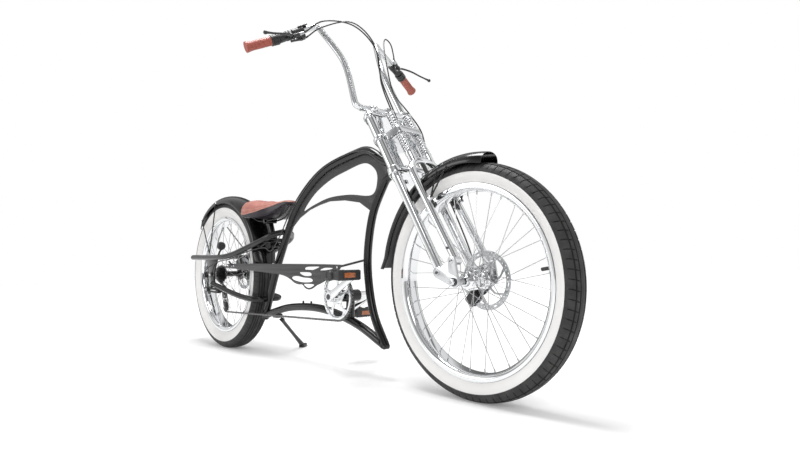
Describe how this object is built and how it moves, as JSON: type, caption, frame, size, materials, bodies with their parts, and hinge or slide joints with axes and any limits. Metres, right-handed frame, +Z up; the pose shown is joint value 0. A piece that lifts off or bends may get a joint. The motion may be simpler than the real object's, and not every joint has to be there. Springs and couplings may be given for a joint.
{
  "type": "stretch cruiser bicycle",
  "caption": "Long low cruiser bicycle with an arched frame, springer fork, tall handlebar, fat whitewall tyres, chain drive with derailleur, disc brakes and kickstand.",
  "frame": {"origin": "on the floor, under the middle of the bicycle's length, in its middle plane", "axes": "+X to the front, +Y to the rider's left, +Z up"},
  "size_m": [2.3276, 0.8072, 1.2982],
  "materials": {
    "black_paint": "gloss black paint",
    "grey_paint": "dark grey satin paint",
    "chrome": "bright chrome plate",
    "silver": "satin silver",
    "steel": "plain steel",
    "tyre": "black rubber with a pale band on the wall",
    "black_plastic": "matt black",
    "cable_cover": "smooth black cable housing",
    "grip_leather": "red-brown leather-look grip",
    "saddle_leather": "brown-pink leather with a pale edge"
  },
  "bodies": {
    "frame": {"main_frame": "black_paint", "rear_stays": "black_paint", "rear_fender": "black_paint", "chain_guard": "grey_paint", "rear_caliper": "black_plastic", "rear_reflector": "black_plastic", "rear_axle": "steel", "chain": "steel", "derailleur_body": "black_plastic", "frame_shift_cable": "cable_cover"},
    "rear_wheel": {"rear_tyre": "tyre", "rear_rim": "chrome", "rear_hub": "black_paint", "rear_rotor": "steel"},
    "cogs": {"cassette": "steel"},
    "crankset": {"chainring": "chrome", "crank_arm_right": "chrome", "crank_arm_left": "chrome"},
    "right_pedal": {"pedal_right": "black_plastic"},
    "left_pedal": {"pedal_left": "black_plastic"},
    "cage": {"derailleur_cage": "black_plastic"},
    "upper_jockey": {"guide_pulley": "black_plastic"},
    "lower_jockey": {"tension_pulley": "black_plastic"},
    "kickstand": {"kickstand_leg": "black_paint"},
    "seat": {"seat_post": "black_paint", "saddle_cover": "saddle_leather", "saddle_base": "black_plastic"},
    "fork": {"lower_crown": "chrome", "middle_crown": "chrome", "top_crown": "chrome", "fork_leg_right": "chrome", "fork_leg_left": "chrome", "grip_right": "grip_leather", "grip_left": "grip_leather", "lower_spring_right": "chrome", "lower_spring_left": "chrome", "upper_spring_right": "chrome", "upper_spring_left": "chrome", "handlebar": "chrome", "lever_perch_right": "black_plastic", "lever_perch_left": "black_plastic", "front_brake_cable": "cable_cover", "rear_brake_cable": "cable_cover", "shift_cable": "cable_cover"},
    "strut": {"springer_hoop": "chrome", "front_fender": "black_paint"},
    "rocker": {"rocker_right": "silver", "rocker_left": "silver", "front_axle": "steel", "front_caliper": "black_plastic"},
    "brake_arm": {"caliper_arm": "black_plastic"},
    "front_wheel": {"front_tyre": "tyre", "front_rim": "chrome", "front_hub": "chrome", "front_rotor": "steel"},
    "right_lever": {"brake_lever_right": "black_plastic"},
    "left_lever": {"brake_lever_left": "black_plastic"},
    "shifter": {"shifter_lever": "black_plastic"}
  },
  "joints": [
    {"name": "steering", "type": "hinge", "parent": "frame", "child": "fork", "pos_m": [0.48262, 0, 0.73807], "axis": [-0.5105, 0, 0.8599], "range_deg": [-35, 35]},
    {"name": "rocker_turn", "type": "hinge", "parent": "fork", "child": "rocker", "pos_m": [0.75111, 0, 0.37402], "axis": [0, -1, 0], "range_deg": [0, 20], "stiffness_Nm_per_rad": 60, "springref_deg": -11.46},
    {"name": "strut_slide", "type": "slide", "parent": "fork", "child": "strut", "axis": [-0.5246, 0, 0.8514], "range_m": [0, 0.025], "deforming": ["lower_spring_right", "lower_spring_left", "upper_spring_right", "upper_spring_left", "front_brake_cable"]},
    {"name": "front_wheel_spin", "type": "hinge", "parent": "rocker", "child": "front_wheel", "pos_m": [0.81645, 0, 0.34732], "axis": [0, 1, 0], "continuous": true},
    {"name": "brake_arm_turn", "type": "hinge", "parent": "rocker", "child": "brake_arm", "pos_m": [0.76245, 0.0753, 0.289], "axis": [0, 1, 0], "range_deg": [0, 20]},
    {"name": "rear_wheel_spin", "type": "hinge", "parent": "frame", "child": "rear_wheel", "pos_m": [-0.79555, 0, 0.36822], "axis": [0, 1, 0], "continuous": true},
    {"name": "crank_spin", "type": "hinge", "parent": "frame", "child": "crankset", "pos_m": [0.21145, 0, 0.287], "axis": [0, 1, 0], "continuous": true},
    {"name": "cogs_spin", "type": "hinge", "parent": "frame", "child": "cogs", "pos_m": [-0.79555, 0, 0.36822], "axis": [0, 1, 0], "continuous": true},
    {"name": "right_pedal_spin", "type": "hinge", "parent": "crankset", "child": "right_pedal", "pos_m": [0.36332, -0.1545, 0.36775], "axis": [0, 1, 0], "continuous": true},
    {"name": "left_pedal_spin", "type": "hinge", "parent": "crankset", "child": "left_pedal", "pos_m": [0.05958, 0.1545, 0.20625], "axis": [0, 1, 0], "continuous": true},
    {"name": "cage_swing", "type": "hinge", "parent": "frame", "child": "cage", "pos_m": [-0.74155, -0.06, 0.287], "axis": [0, 1, 0], "range_deg": [-8, 15], "stiffness_Nm_per_rad": 2, "deforming": ["chain"]},
    {"name": "upper_jockey_spin", "type": "hinge", "parent": "cage", "child": "upper_jockey", "pos_m": [-0.74155, -0.06, 0.287], "axis": [0, 1, 0], "continuous": true},
    {"name": "lower_jockey_spin", "type": "hinge", "parent": "cage", "child": "lower_jockey", "pos_m": [-0.71755, -0.06, 0.207], "axis": [0, 1, 0], "continuous": true},
    {"name": "kickstand_swing", "type": "hinge", "parent": "frame", "child": "kickstand", "pos_m": [-0.35055, 0.036, 0.158], "axis": [0.2925, 0.7014, 0.65], "range_deg": [0, 55]},
    {"name": "seat_slide", "type": "slide", "parent": "frame", "child": "seat", "axis": [-0.3804, 0, 0.9248], "range_m": [0, 0.025]},
    {"name": "right_lever_pull", "type": "hinge", "parent": "fork", "child": "right_lever", "pos_m": [0.22245, -0.252, 1.211], "axis": [0.0655, 0.2845, -0.9564], "range_deg": [0, 20], "stiffness_Nm_per_rad": 1, "springref_deg": -17.19},
    {"name": "left_lever_pull", "type": "hinge", "parent": "fork", "child": "left_lever", "pos_m": [0.22245, 0.252, 1.211], "axis": [-0.0655, 0.2845, 0.9564], "range_deg": [0, 20], "stiffness_Nm_per_rad": 1, "springref_deg": -17.19},
    {"name": "shifter_push", "type": "hinge", "parent": "fork", "child": "shifter", "pos_m": [0.20647, -0.205, 1.22537], "axis": [0, 0, -1], "range_deg": [0, 25], "stiffness_Nm_per_rad": 0.5, "springref_deg": -17.19}
  ],
  "couplings": [
    {"joint": "strut_slide", "follows": "rocker_turn", "m_per_rad": 0.0665},
    {"joint": "brake_arm_turn", "follows": "left_lever_pull", "ratio": 1},
    {"joint": "cogs_spin", "follows": "crank_spin", "ratio": 2.4444},
    {"joint": "upper_jockey_spin", "follows": "crank_spin", "ratio": -4},
    {"joint": "lower_jockey_spin", "follows": "crank_spin", "ratio": 4}
  ]
}
